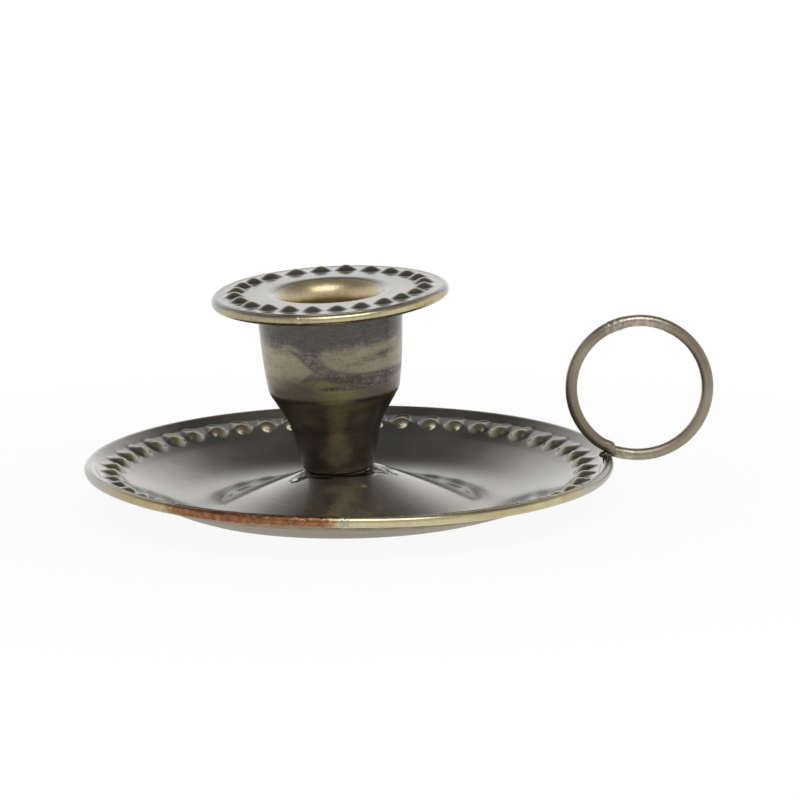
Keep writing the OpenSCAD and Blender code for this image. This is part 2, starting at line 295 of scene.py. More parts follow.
def finish_piece(piece, material, slot, *nodes):
    """Gives a piece its material, puts it on the body, and lets it stand for its nodes; the slot is not used."""
    piece.data.materials.append(material)
    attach(piece, "root")
    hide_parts(*nodes)


# Shader nodes

def add(tree, kind, inputs=None, **settings):
    made = tree.nodes.new("ShaderNode" + kind)
    for key, value in settings.items():
        setattr(made, key, value)
    for key, value in (inputs or {}).items():
        if isinstance(value, bpy.types.NodeSocket):
            tree.links.new(value, made.inputs[key])
        else:
            made.inputs[key].default_value = value
    return made


def new_material(name):
    material = bpy.data.materials.new(name)
    material.use_nodes = True
    tree = material.node_tree
    return material, tree, tree.nodes["Principled BSDF"]


def math_node(tree, operation, a, b=0.0, c=0.0):
    return add(tree, "Math", {0: a, 1: b, 2: c}, operation=operation).outputs[0]


def mix_colour(tree, share, a, b):
    made = add(tree, "Mix", data_type="RGBA")
    for key, value in (("Factor", share), ("A", a), ("B", b)):
        socket = [s for s in made.inputs if s.name == key and s.enabled][0]
        if isinstance(value, bpy.types.NodeSocket):
            tree.links.new(value, socket)
        else:
            socket.default_value = value
    return [s for s in made.outputs if s.enabled][0]


def mix_value(tree, share, a, b):
    """a where share is 0 and b where it is 1."""
    return math_node(tree, "MULTIPLY_ADD", share, math_node(tree, "SUBTRACT", b, a), a)


def noise(tree, vector, scale, detail=3.0, roughness=0.55):
    return add(
        tree, "TexNoise", {"Vector": vector, "Scale": scale, "Detail": detail, "Roughness": roughness}
    ).outputs["Fac"]


def ramp(tree, value, low, high):
    """0 below low and 1 above high, smooth between."""
    return add(
        tree, "MapRange", {"Value": value, "From Min": low, "From Max": high}, interpolation_type="SMOOTHSTEP"
    ).outputs["Result"]


def mask_value(tree, name):
    return add(tree, "Attribute", attribute_name=name).outputs["Fac"]


def spin_lines(tree, coordinate, per_metre, along):
    """Fine turned lines: noise that changes with the radius and the height only."""
    parts = add(tree, "SeparateXYZ", {0: coordinate}).outputs
    flat = add(tree, "CombineXYZ", {0: parts[0], 1: parts[1]}).outputs[0]
    radius = add(tree, "VectorMath", {0: flat}, operation="LENGTH").outputs["Value"]
    line = math_node(tree, "MULTIPLY_ADD", parts[2], along, radius)
    stretched = math_node(tree, "MULTIPLY", line, per_metre)
    return add(
        tree, "TexNoise", {"W": stretched, "Scale": 1.0, "Detail": 4.0, "Roughness": 0.7}, noise_dimensions="1D"
    ).outputs["Fac"]


def layer(mask, low, high, rough, ragged=0.5, soft=0.15, grain=0.09, dull=0.0):
    """A layer on a metal, of wear, stains and painted light, where a mask is: its dark and light tone, its roughness,
    how ragged and how soft its edge is, how gently its tones mix, and how far it has lost the metal's shine."""
    return mask, low, high, rough, ragged, soft, grain, dull


def metal_material(name, dark, light, rough, layers, coat=0.0, spin=0.3, relief=0.12, streak=1.0, fine=1.0):
    """Worn metal: clouds and turned lines of two tones, with layers over them, among them painted shade, highlights
    and reflections.
    """
    material, tree, shader = new_material(name)
    place = add(tree, "TexCoord").outputs["Object"]
    drawn = add(tree, "Mapping", {"Vector": place, "Scale": (1.0, 1.0, streak)}).outputs[0]
    lines = spin_lines(tree, place, 2600.0, 1.0)
    clouds = noise(tree, drawn, 45.0)
    mottle = noise(tree, drawn, 330.0 * fine, 5.0, 0.65)
    pits = noise(tree, place, 1300.0 * fine, 3.0, 0.6)
    fleck = mix_value(tree, 0.45, mottle, pits)
    colour = mix_colour(tree, ramp(tree, clouds, 0.4, 0.72), dark, light)
    colour = mix_colour(tree, math_node(tree, "MULTIPLY", ramp(tree, lines, 0.45, 0.8), spin), colour, light)
    roughness = math_node(tree, "MULTIPLY_ADD", clouds, 0.12, rough - 0.1 * spin)
    roughness = math_node(tree, "MULTIPLY_ADD", lines, 0.2 * spin, roughness)
    shine = 1.0
    for mask, low, high, layer_rough, ragged, soft, grain, dull in layers:
        edge = math_node(tree, "MULTIPLY_ADD", math_node(tree, "SUBTRACT", fleck, 0.5), ragged, mask_value(tree, mask))
        share = ramp(tree, edge, 0.5 - soft, 0.5 + soft)
        tone = mix_colour(tree, ramp(tree, fleck, 0.51 - grain, 0.51 + grain), low, high)
        colour = mix_colour(tree, share, colour, tone)
        roughness = mix_value(tree, share, roughness, layer_rough)
        if dull:
            shine = mix_value(tree, share, shine, 1.0 - dull)
    height = math_node(tree, "MULTIPLY_ADD", lines, 0.5, math_node(tree, "MULTIPLY", pits, 0.5))
    bump = add(tree, "Bump", {"Strength": relief, "Distance": 0.0001, "Height": height}).outputs[0]
    tree.links.new(colour, shader.inputs["Base Color"])
    tree.links.new(roughness, shader.inputs["Roughness"])
    tree.links.new(bump, shader.inputs["Normal"])
    if shine == 1.0:
        shader.inputs["Metallic"].default_value = 1.0
        shader.inputs["Coat Weight"].default_value = coat
    else:
        tree.links.new(shine, shader.inputs["Metallic"])
        tree.links.new(math_node(tree, "MULTIPLY", shine, coat), shader.inputs["Coat Weight"])
    shader.inputs["Coat Roughness"].default_value = 0.1
    return material


DARK_PATINA = (0.12, 0.115, 0.1, 1)
WARM_PATINA = (0.22, 0.2, 0.155, 1)
# Painted shade on the cup under the collar
COLLAR_SHADE_LOW = (0.055, 0.053, 0.05, 1)
COLLAR_SHADE_HIGH = (0.1, 0.095, 0.085, 1)
BROWN_LOW = (0.13, 0.108, 0.082, 1)
BROWN_HIGH = (0.22, 0.185, 0.14, 1)
PIT_LOW = (0.03, 0.026, 0.022, 1)
PIT_HIGH = (0.07, 0.06, 0.05, 1)
# Painted reflections on the pan's dish
PAINTED_REFLECTION_LOW = (0.155, 0.122, 0.078, 1)
PAINTED_REFLECTION_HIGH = (0.26, 0.205, 0.13, 1)
# Green-brown patina of the cup's shoulder, also a painted highlight down its front
OLIVE_HIGHLIGHT_LOW = (0.25, 0.207, 0.095, 1)
OLIVE_HIGHLIGHT_HIGH = (0.36, 0.31, 0.155, 1)
# Bare brass on the pan's and the collar's bead tops, also a painted reflection of the cup on the pan's dish
GLOW_LOW = (0.17, 0.142, 0.066, 1)
GLOW_HIGH = (0.36, 0.3, 0.15, 1)
# Tan patina band of the cup, also painted highlights down its front
TAN_HIGHLIGHT_LOW = (0.24, 0.205, 0.13, 1)
TAN_HIGHLIGHT_HIGH = (0.36, 0.32, 0.225, 1)
STAIN_LOW = (0.075, 0.058, 0.052, 1)
STAIN_HIGH = (0.24, 0.2, 0.175, 1)
UNDER_LOW = (0.28, 0.222, 0.112, 1)
UNDER_HIGH = (0.37, 0.3, 0.158, 1)
BRASS_LOW = (0.3, 0.24, 0.115, 1)
BRASS_HIGH = (0.58, 0.49, 0.28, 1)
THROAT_LOW = (0.44, 0.35, 0.18, 1)
THROAT_HIGH = (0.6, 0.5, 0.3, 1)
RIM_LOW = (0.41, 0.345, 0.195, 1)
RIM_HIGH = (0.63, 0.55, 0.34, 1)
COPPER_LOW = (0.17, 0.068, 0.036, 1)
COPPER_HIGH = (0.4, 0.19, 0.09, 1)
TARNISH_LOW = (0.1, 0.085, 0.07, 1)
TARNISH_HIGH = (0.3, 0.26, 0.2, 1)
SILVER_LOW = (0.34, 0.33, 0.3, 1)
SILVER_HIGH = (0.42, 0.41, 0.375, 1)
BRONZE_LOW = (0.24, 0.203, 0.148, 1)
BRONZE_HIGH = (0.35, 0.305, 0.228, 1)
# Painted highlights on the finger ring
PAINTED_HIGHLIGHT_LOW = (0.33, 0.29, 0.225, 1)
PAINTED_HIGHLIGHT_HIGH = (0.52, 0.465, 0.375, 1)
SOLDER_LOW = (0.05, 0.045, 0.035, 1)
SOLDER_HIGH = (0.14, 0.125, 0.1, 1)
SHINE_LOW = (0.16, 0.15, 0.12, 1)
SHINE_HIGH = (0.6, 0.58, 0.52, 1)

pan_patina = metal_material(
    "pan_patina", DARK_PATINA, WARM_PATINA, 0.09,
    [
        # painted reflections on the dish, browner and duller than the patina
        layer("painted_reflection", PAINTED_REFLECTION_LOW, PAINTED_REFLECTION_HIGH, 0.32, 0.6, 0.48, 0.3, 0.35),
        # bare brass on the bead tops, and a painted reflection of the cup on the dish
        layer("glow", GLOW_LOW, GLOW_HIGH, 0.45, 0.6, 0.45, 0.25),
        layer("pits", PIT_LOW, PIT_HIGH, 0.4, 5.0, 0.12),
        layer("under", UNDER_LOW, UNDER_HIGH, 0.5, 0.3, 0.15, 0.25, 0.85),
    ],
    coat=1.0, spin=0.7, relief=0.22,
)
collar_patina = metal_material(
    "collar_patina", DARK_PATINA, WARM_PATINA, 0.16,
    [
        layer("glow", GLOW_LOW, GLOW_HIGH, 0.3, 0.4, 0.3, 0.2),
        layer("bare", THROAT_LOW, THROAT_HIGH, 0.4, 0.2, 0.15, 0.25),
    ],
    coat=1.0, relief=0.2,
)
cup_patina = metal_material(
    "cup_patina", BROWN_LOW, BROWN_HIGH, 0.3,
    [
        # painted shade on the cup under the collar
        layer("painted_collar_shade", COLLAR_SHADE_LOW, COLLAR_SHADE_HIGH, 0.27, 0.8, 0.4, 0.2),
        # green-brown patina round the shoulder, lighter down the front as a painted highlight
        layer("olive_and_highlight", OLIVE_HIGHLIGHT_LOW, OLIVE_HIGHLIGHT_HIGH, 0.36, 0.8, 0.42, 0.25),
        # tan patina band, with painted highlights down the front
        layer("tan", TAN_HIGHLIGHT_LOW, TAN_HIGHLIGHT_HIGH, 0.38, 0.9, 0.42, 0.3),
        layer("stain", STAIN_LOW, STAIN_HIGH, 0.45, 2.4, 0.25, 0.12),
        layer("bare", BRASS_LOW, BRASS_HIGH, 0.4, 0.5),
    ],
    coat=0.3, spin=0.3, streak=5.0,
)
rim_brass = metal_material(
    "rim_brass", RIM_LOW, RIM_HIGH, 0.18,
    [
        layer("silver", SILVER_LOW, SILVER_HIGH, 0.24, 0.4, 0.35, 0.25),
        layer("tarnish", TARNISH_LOW, TARNISH_HIGH, 0.34, 1.6, 0.42, 0.2),
        layer("copper", COPPER_LOW, COPPER_HIGH, 0.34, 1.4, 0.4, 0.14),
    ],
    spin=0.0, relief=0.3, fine=2.2,
)
ring_bronze = metal_material(
    # the ring's lighter tone at its top and bottom is a painted highlight
    "ring_bronze", BRONZE_LOW, BRONZE_HIGH, 0.33, [layer("painted_highlight", PAINTED_HIGHLIGHT_LOW, PAINTED_HIGHLIGHT_HIGH, 0.3, 0.9, 0.35)],
    spin=0.0, relief=0.2,
)
braze_metal = metal_material(
    "braze_metal", SOLDER_LOW, SOLDER_HIGH, 0.2, [layer("shine", SHINE_LOW, SHINE_HIGH, 0.16, 2.5)],
    coat=0.4, spin=0.0, relief=0.35,
)


# Drip pan

PAN_WIRE = np.array([PAN_WIRE_RING_R, PAN_RIM_H])
LIP_WAY = np.array([math.cos(LIP_SLOPE), math.sin(LIP_SLOPE)])


def front(angle):
    """1 along the front of the rim, where the sheet stops short and the wire's face is bare."""
    return stretch(angle, 200, 335, 16)


def pan_lap_end(angle):
    """Section angle of the wire at which the pan's sheet ends."""
    handle = stretch(angle, 322, 8, 6)
    wavy = 5 * ripple(angle, 21, (17, 29, 43, 61)) + 3 * ripple(angle, 22, (5, 9, 13))
    return (52 + 46 * front(angle) + wavy) * (1 - handle) + 148 * handle


def warp(grid, first_r, last_r):
    """Bends the pan as the real one is bent: down at the front right, and a little wider there."""
    r, angle = polar(grid)
    share = smooth(r, first_r, last_r)
    turns = [0, 12, 36, 78, 120, 154, 185, 210, 222, 251, 264, 277, 290, 310, 337, 350]
    drop = [0.55, 0.3, 0.22, 0.1, 0.1, 0.3, 0.1, 0.0, 0.3, 0.55, 0.62, 0.95, 1.3, 1.5, 1.42, 0.95]
    grid[..., 2] -= share * round_about(angle, turns, drop)
    wider = 1 + share * 0.6 * near(angle, 346, 26) / r
    grid[..., 0] *= wider
    grid[..., 1] *= wider


def pan_corners():
    lip_out = PAN_WIRE + (LAP_R - PAN_T) * left(LIP_WAY)
    slope = math.tan(FLANGE_SLOPE)
    rise = lip_out[1] - PAN_EDGE_Z - (lip_out[0] - PAN_EDGE_R) * slope
    lip_in = lip_out - LIP_WAY * rise / (LIP_WAY[1] - LIP_WAY[0] * slope)
    boss = np.array([CUP_FOOT_R + BOSS_LAND, BOSS_H - PAN_T])
    step = np.array([FLANGE_IN_R - STEP_W, FLANGE_IN_Z - STEP_H + 0.35])
    fall = math.atan2(boss[1], REST_IN_R - boss[0])
    climb = math.atan2(step[1], step[0] - REST_OUT_R)
    reach = REST_OUT_R - REST_IN_R - REST_FLAT_W - 9.0 * math.tan(fall / 2)
    return [
        (0, BOSS_H - PAN_T),
        (*boss, 2.5),
        (REST_IN_R, 0, 9.0),
        (REST_OUT_R, 0, reach / math.tan(climb / 2)),
        (*step, 11.0),
        (FLANGE_IN_R, FLANGE_IN_Z, 9.0),
        (*lip_in, 2.5),
        tuple(lip_out),
    ]


def make_pan():
    corners = pan_corners()
    points, normals = rounded_line(corners, lambda r: 0.9 if r > PAN_BEAD_R - 4 else 3.0, math.radians(9))
    points[0, 0] = 0.01
    columns = PAN_BEADS * 14
    lower = revolved(points, columns)
    points, normals = rounded_line(corners, lambda r: 0.42 if r > PAN_BEAD_R - 3.5 else 2.2, math.radians(6))
    top = points + PAN_T * normals
    top[0, 0] = 0.01
    skin = np.arange(129.0, 34.0, -6.0)
    skin_r = np.interp(skin, [35, 135], [RIM_WIRE_R + 0.06, LAP_R])
    rolled = PAN_WIRE + skin_r[:, None] * np.stack([np.cos(np.radians(skin)), np.sin(np.radians(skin))], axis=1)
    upper = revolved(np.concatenate([top, rolled]), columns)
    lip_row = int(np.argmax(top[:, 0] > PAN_WIRE_RING_R - 1.6))
    tuck(upper, lip_row, PAN_WIRE, pan_lap_end)
    for face in (lower, upper):
        rise = press_beads(
            face, PAN_BEADS, PAN_BEAD_TURN, PAN_BEAD_R - 0.4, 1.25, (2.4, 4.5, 2.9), (0.85, 1.0), 31, 0.35
        )
        warp(face, 42, 62)
    r, angle = polar(upper)
    spot = np.exp(-(np.hypot(upper[..., 0] - 3.8, upper[..., 1] + 13.2) / 2.3) ** 2)
    # A painted reflection of the cup on the dish in front of it
    painted_cup_reflection = np.exp(-(np.hypot((upper[..., 0] + 0.5) / 1.6, upper[..., 1] + 27) / 6) ** 2)
    # Painted reflections on the dish: of the cup, in front of it, and lighter patches at the left and the right
    painted_reflection = 0.95 * near(angle, 268, 22) * between(r, 9, 50, 5) * (0.8 + 0.3 * lumps(upper, 6, 34))
    painted_reflection = np.maximum(painted_reflection, 0.5 * between(r, 22, 39, 6) * (near(angle, 192, 34) + near(angle, 350, 34)))
    bead_glow = smooth(rise, 0.05, 0.6) * smooth(PAN_BEAD_R + 2.8 - r, 0, 2.4)
    pit = between(r, 46, 62, 3) * (near(angle, 205, 22) + near(angle, 338, 22))
    top_masks = {"painted_reflection": painted_reflection, "glow": np.maximum(0.6 * bead_glow, 0.3 * painted_cup_reflection), "pits": 0.5 * pit - 0.65, "under": 0.56 * spot}
    under_masks = {"painted_reflection": 0.0, "glow": 0.0, "pits": -0.6, "under": 0.95}
    masks = {
        mask: np.concatenate([
            np.full(lower.shape[:2], under_masks[mask]), np.broadcast_to(values, upper.shape[:2])[::-1]
        ])
        for mask, values in top_masks.items()
    }
    grid = np.concatenate([lower, upper[::-1]])
    piece = mesh_piece("pan_sheet", grid, masks=masks)
    finish_piece(piece, pan_patina, "patinated_sheet", "drip_pan")
    return top


pan_top_line = make_pan()


def pan_top(r):
    """Height of the pan's upper face at a radius."""
    return np.interp(r, pan_top_line[:, 0], pan_top_line[:, 1])


# Candle cup

def cup_masks(points, angle, height):
    """Where the cup has painted shade under the collar, green-brown and tan bands of patina with painted highlights
    down its front, and stains, by place round it and height.
    """
    turns = [0, 30, 60, 90, 120, 150, 185, 240, 252, 262, 300, 332]
    tan_low = round_about(angle, turns, [27, 27, 28, 26, 26, 27, 26.8, 26.0, 29.0, 29, 27.8, 27.8], 5)
    tan_high = round_about(angle, turns, [36, 35, 34, 37, 36, 34, 35.5, 35.5, 31, 34.5, 35.5, 36], 5)
    tan = smooth(height, tan_low - 0.8, tan_low + 0.8) * (1 - smooth(height, tan_high - 3.5, tan_high + 3))
    turns = [0, 40, 80, 120, 180, 232, 245, 257, 270, 292, 326]
    stain_line = round_about(angle, turns, [27, 31, 33, 29, 34, 35, 33.0, 30.4, 27.8, 26.6, 26.6], 5)
    stain_half = round_about(angle, turns, [0.8, 1.2, 1.8, 0.8, 0.2, 0.2, 1.6, 3.4, 2.7, 2.2, 2.0], 5)
    stain = 1 - smooth(np.abs(height - stain_line), stain_half * 0.3, stain_half * 1.4)
    dark_line = (1 - smooth(np.abs(height - 24.7), 0.35, 0.9)) * stretch(angle, 258, 326, 8)
    streaks = lumps(points * np.array([1, 1, 5]), 14, 44)
    tan = tan * (0.86 + 0.2 * streaks) * (1 - 0.22 * near(angle, 312, 22))
    # A green-brown band of patina round the shoulder, stronger down the front as a painted highlight
    olive_and_highlight = between(height, 17.8, 27.2, 2.4) * (0.2 + 0.56 * near(angle, 274, 20) + 0.2 * streaks)
    # Painted highlights down the cup's front: a spot near the foot, a streak up the lower part and a patch under the
    # shoulder; they lighten the tan and green-brown layers
    spot = np.exp(-((away(angle, 268) / 22) ** 2 + ((height - 5.9) / 2.6) ** 2))
    streak = np.exp(-((away(angle, 271) / 12) ** 2 + ((height - 13.0) / 8) ** 2))
    shine = np.exp(-((away(angle, 272) / 11) ** 2 + ((height - 18.2) / 1.6) ** 2))
    return {
        # painted shade under the collar, from 25 mm up to the top of the cup
        "painted_collar_shade": smooth(height, 25, 33),
        "tan": np.maximum(tan, 1.2 * spot + 0.8 * streak + 1.1 * shine),
        "stain": np.maximum(0.75 * stain, 0.9 * dark_line),
        "olive_and_highlight": np.maximum(olive_and_highlight, np.maximum(0.95 * spot, 0.65 * streak)),
    }


def make_cup():
    points, normals = rounded_line([
        (0, 0),
        (CUP_FOOT_R, 0, 1.4),
        (*WAIST, 14.0),
        (*SHOULDER, 3.5),
        (*BELLY, BELLY_BEND),
        (CUP_TOP_R, CUP_H),
    ], lambda r: 0.55)
    points[0, 0] = 0.01
    profile = np.concatenate([points, (points + CUP_T * normals)[::-1]])
    profile[:, 0] = np.maximum(profile[:, 0], 0.01)
    grid = revolved(profile, 288)
    r, angle = polar(grid)
    masks = cup_masks(grid, angle, grid[..., 2])
    inside = (np.arange(len(profile)) >= len(points))[:, None]
    masks = {mask: np.where(inside, 0.0, values) for mask, values in masks.items()}
    masks["bare"] = np.where(inside, 0.8, 0.0)
    dents = 0.05 * lumps(grid, 16, 41) * smooth(grid[..., 2], 4, 10) * (1 - smooth(grid[..., 2], 40, 45))
    grid[..., 0] += dents * np.cos(np.radians(angle))
    grid[..., 1] += dents * np.sin(np.radians(angle))
    piece = mesh_piece("cup_sheet", grid, CUP_PLACE, masks=masks)
    finish_piece(piece, cup_patina, "patinated_sheet", "candle_cup")


# Drip collar

COLLAR_WIRE = np.array([COLLAR_WIRE_RING_R, COLLAR_WIRE_Z])


def collar_lap_end(angle):
    """Section angle of the wire at which the collar's sheet ends."""
    return 18 + 56 * stretch(angle, 212, 338, 20) + 4 * ripple(angle, 51, (7, 13, 19, 31))


def warp_collar(grid):
    """Bends the collar as the real one is bent: up at the right, and a little wider there."""
    r, angle = polar(grid)
    share = smooth(r, 16, 28)
    grid[..., 2] += share * (0.6 * near(angle, 335, 45) + 0.08 * ripple(angle, 53, (2, 3, 4)))
    wider = 1 + share * 0.5 * near(angle, 0, 35) / r
    grid[..., 0] *= wider
    grid[..., 1] *= wider


def make_collar():
    corners = [
        (BORE_R + COLLAR_T, COLLAR_TOP - NECK_L),
        (BORE_R + COLLAR_T, CUP_H, THROAT_R - COLLAR_T),
        (COLLAR_WIRE_RING_R - 0.617, CUP_H),
    ]
    points, normals = rounded_line(corners, lambda r: 0.9 if r > COLLAR_BEAD_R - 4 else 1.6, math.radians(9))
    columns = COLLAR_BEADS * 30
    lower = revolved(points, columns)
    points, normals = rounded_line(corners, lambda r: 0.3 if r > COLLAR_BEAD_R - 3.5 else 1.2)
    top = points + COLLAR_T * normals
    skin = np.arange(107.0, 3.0, -6.0)
    skin_r = np.interp(skin, [5, 112.4], [RIM_WIRE_R + 0.06, 1.62])
    rolled = COLLAR_WIRE + skin_r[:, None] * np.stack([np.cos(np.radians(skin)), np.sin(np.radians(skin))], axis=1)
    upper = revolved(np.concatenate([top, rolled]), columns)
    tuck(upper, len(top), COLLAR_WIRE, collar_lap_end)
    for face in (lower, upper):
        rise = press_beads(
            face, COLLAR_BEADS, COLLAR_BEAD_TURN, COLLAR_BEAD_R, 1.2, (2.9, 3.0, 3.2), (1.4, 1.8), 52, 0.0,
            lambda turn: 4.5 * near(turn, 138, 20) - 2.0 * near(turn, 55, 25),
        )
        warp_collar(face)
    r, angle = polar(upper)
    brass_r = BORE_R + 2.5 + 0.9 * np.sin(np.radians(angle)) ** 2
    bare = 1 - smooth(r, brass_r - 0.4, brass_r + 0.4)
    bare = np.concatenate([np.full(lower.shape[:2], 0.3), bare[::-1]])
    glow = np.concatenate([np.zeros(lower.shape[:2]), 0.55 * smooth(rise, 0.15, 0.75)[::-1]])
    grid = np.concatenate([lower, upper[::-1]])
    piece = mesh_piece("collar_sheet", grid, CUP_PLACE, closed_rows=True, masks={"bare": bare, "glow": glow})
    finish_piece(piece, collar_patina, "patinated_sheet", "drip_collar")


make_cup()
make_collar()


# Wires

def wire_grid(ring_r, wire_r, level, columns, rows, seed, bend=0.0, swell=0.0):
    """A bent wire, a little uneven along its length, with its own bends and swellings added."""
    angle = 360 * np.arange(columns) / columns
    around = np.radians(angle)
    turn = 2 * math.pi * np.arange(rows)[:, None] / rows
    centre_r = ring_r + 0.04 * ripple(angle, seed, (2, 3, 5, 9)) + bend
    r = wire_r * (1 + 0.015 * ripple(angle, seed + 1, (7, 13, 23, 41))) + swell
    across = centre_r + r * np.cos(turn)
    up = level + r * np.sin(turn)
    return np.stack([across * np.cos(around), across * np.sin(around), up], axis=2), angle


def make_wires():
    grid, angle = wire_grid(PAN_WIRE_RING_R, RIM_WIRE_R, PAN_RIM_H, 900, 24, 61)
    shifted = angle + 1.0 * lumps(grid, 1.4, 66)
    copper = 1.1 * stretch(shifted, 228, 266, 4) * (0.75 + 0.25 * smooth(angle, 228, 246))
    grid[..., 2] += lumps(grid, 2.2, 62) * 0.07 * copper
    section = np.arange(24)[:, None] * 15.0
    tarnish = 0.35 * near(section, 95, 35) * stretch(angle, 276, 345, 10) + 0.12 * stretch(angle, 190, 345, 10)
    warp(grid, 42, 62)
    masks = {"copper": copper, "silver": 1 - stretch(angle, 205, 330, 22), "tarnish": tarnish}
    piece = mesh_piece("pan_wire", grid, closed_rows=True, masks=masks)
    finish_piece(piece, rim_brass, "rim_wire", "pan_rim_wire")
    grid, angle = wire_grid(COLLAR_WIRE_RING_R, RIM_WIRE_R, COLLAR_WIRE_Z, 480, 24, 64)
    warp_collar(grid)
    tarnish = 0.34 * stretch(angle, 215, 266, 12) + 0.16
    masks = {"copper": 0.0, "silver": 1 - stretch(angle, 192, 348, 22), "tarnish": tarnish}
    piece = mesh_piece("collar_wire", grid, CUP_PLACE, closed_rows=True, masks=masks)
    finish_piece(piece, rim_brass, "rim_wire", "collar_rim_wire")


def make_ring():
    angle = 360 * np.arange(720) / 720
    late = away(angle, 247)
    past = smooth(late, -1.6, 1.6)
    bend = -0.22 * near(angle, 243, 5) * (1 - past) + 0.42 * np.exp(-np.maximum(late, 0) / 12) * past
    bend = bend * (1 - smooth(np.abs(late), 25, 60))
    swell = 0.05 * near(angle, 242.5, 4) * (1 - past) - 0.08 * near(angle, 247, 1.5)
    grid, angle = wire_grid(RING_R, RING_WIRE_R, 0, 720, 32, 71, bend, swell)
    # Painted highlights at the top and the bottom of the ring
    painted_highlight = 0.55 * near(angle, 262, 18) + 0.85 * near(angle, 88, 22)
    piece = mesh_piece("ring_wire", grid, RING_PLACE, closed_rows=True, masks={"painted_highlight": painted_highlight})
    finish_piece(piece, ring_bronze, "ring_wire", "finger_ring")


make_wires()
make_ring()


# Welds and brazes

def sleeve(ring_r, wire_r, level, turn, length, proud, seed, rough):
    """A lumpy sleeve of weld on a stretch of a bent wire, closed at its two ends inside the wire."""
    rows, columns = 40, 40
    u = np.linspace(-1, 1, rows)[:, None]
    section = 2 * math.pi * np.arange(columns)[None, :] / columns
    turns = np.radians(turn) + u * length / 2 / ring_r
    flat = np.stack([np.cos(section) + 0 * u, np.sin(section) + 0 * u, u * length / 2 + 0 * section], axis=2)
    r = wire_r - 0.06 + (proud + 0.06) * np.sqrt(1 - u ** 2) + rough * lumps(flat * wire_r, 1.3, seed) * (1 - u ** 2)
    r[0] = r[-1] = 0.01
    across = ring_r + r * np.cos(section)
    return np.stack([across * np.cos(turns), across * np.sin(turns), level + r * np.sin(section)], axis=2)


def make_welds():
    grid = sleeve(PAN_WIRE_RING_R, RIM_WIRE_R, PAN_RIM_H, PAN_WELD_TURN, 2.4, 0.07, 81, 0.07)
    warp(grid, 42, 62)
    piece = mesh_piece("pan_wire_weld", grid, masks={"silver": 0.45, "tarnish": 0.3, "copper": 0.0})
    finish_piece(piece, rim_brass, "braze", "pan_rim_weld")
    grid = sleeve(COLLAR_WIRE_RING_R, RIM_WIRE_R, COLLAR_WIRE_Z, COLLAR_WELD_TURN, 2.7, 0.04, 82, 0.05)
    warp_collar(grid)
    piece = mesh_piece("collar_wire_weld", grid, CUP_PLACE, masks={"silver": 0.3, "tarnish": 0.45, "copper": 0.0})
    finish_piece(piece, rim_brass, "braze", "collar_rim_weld")
    grid = sleeve(RING_R, RING_WIRE_R, 0, RING_WELD_TURN, 6.7, 0.07, 83, 0.05)
    # The ring's weld gets half of the painted highlight
    piece = mesh_piece("ring_wire_weld", grid, RING_PLACE, masks={"painted_highlight": 0.5})
    finish_piece(piece, ring_bronze, "ring_wire", "ring_weld")


def make_pan_seam():
    """The seam of braze in the corner between the pan's lip and its wire, seen from below."""
    angle = 360 * np.arange(900) / 900
    section = 2 * math.pi * np.arange(14)[:, None] / 14
    corner = PAN_WIRE + (LAP_R - PAN_T) * left(LIP_WAY) - 1.16 * LIP_WAY
    r = 0.68 + 0.1 * ripple(angle, 84, (31, 47, 83, 131)) + 0.25 * smooth(ripple(angle, 85, (11, 17, 23)), 0.5, 0.8)
    across = corner[0] + r * np.cos(section)
    around = np.radians(angle)
    grid = np.stack([
        across * np.cos(around), across * np.sin(around), corner[1] + r * np.sin(section) + 0 * around
    ], axis=2)
    warp(grid, 42, 62)
    piece = mesh_piece("pan_seam", grid, closed_rows=True, masks={"shine": 0.1})
    finish_piece(piece, braze_metal, "braze", "pan_rim_braze")


def make_foot_braze():
    """A lumpy fillet round the cup's foot that runs out over the cone at the left and the right."""
    rows, columns = 30, 360
    s = np.linspace(0, 1, rows)[:, None]
    angle = 360 * np.arange(columns)[None, :] / columns
    around = np.radians(angle)
    right, leftward = near(angle, 352, 24), near(angle, 201, 19)
    splash = np.clip(right + leftward + 0.4 * near(angle, 100, 40), 0, 1)
    reach = 0.35 + 6.8 * right + 5.2 * leftward + 0.6 * near(angle, 100, 40) + 0.08 * ripple(angle, 91, (5, 9, 14, 23))
    height = 0.25 + 1.1 * near(angle, 355, 26) + 0.8 * near(angle, 190, 18) + 0.08 * ripple(angle, 92, (3, 7, 12))
    start = CUP_FOOT_R + 0.22 * height - 0.3
    out = start + (CUP_FOOT_R + reach - start) * s
    film = (0.03 + 0.2 * splash) * (1 - s ** 3) - 0.12 * s ** 3
    rise = height * (1 - s) ** (1.6 + 0.55 * reach) + film
    x = -CUP_SHIFT + out * np.cos(around)
    y = out * np.sin(around)
    flat = np.stack([x, y, 0 * x], axis=2)
    edge = smooth(s, 0.05, 0.3) * (1 - smooth(s, 0.85, 1))
    rise = rise + (0.1 * lumps(flat, 2.4, 93) + 0.05 * lumps(flat, 1.1, 94)) * edge * (0.1 + 0.9 * (right + leftward))
    face = np.stack([x, y, pan_top(np.hypot(x, y)) + rise], axis=2)
    under = face[::-1].copy()
    under[..., 2] = pan_top(np.hypot(under[..., 0], under[..., 1])) - 0.3
    grid = np.concatenate([face, under])
    shine = (0.08 + 0.4 * lumps(flat, 2.0, 95)) * np.clip(right + leftward, 0, 1)
    piece = mesh_piece("foot_fillet", grid, closed_rows=True, masks={"shine": np.concatenate([shine, shine[::-1]])})
    finish_piece(piece, braze_metal, "braze", "foot_braze")


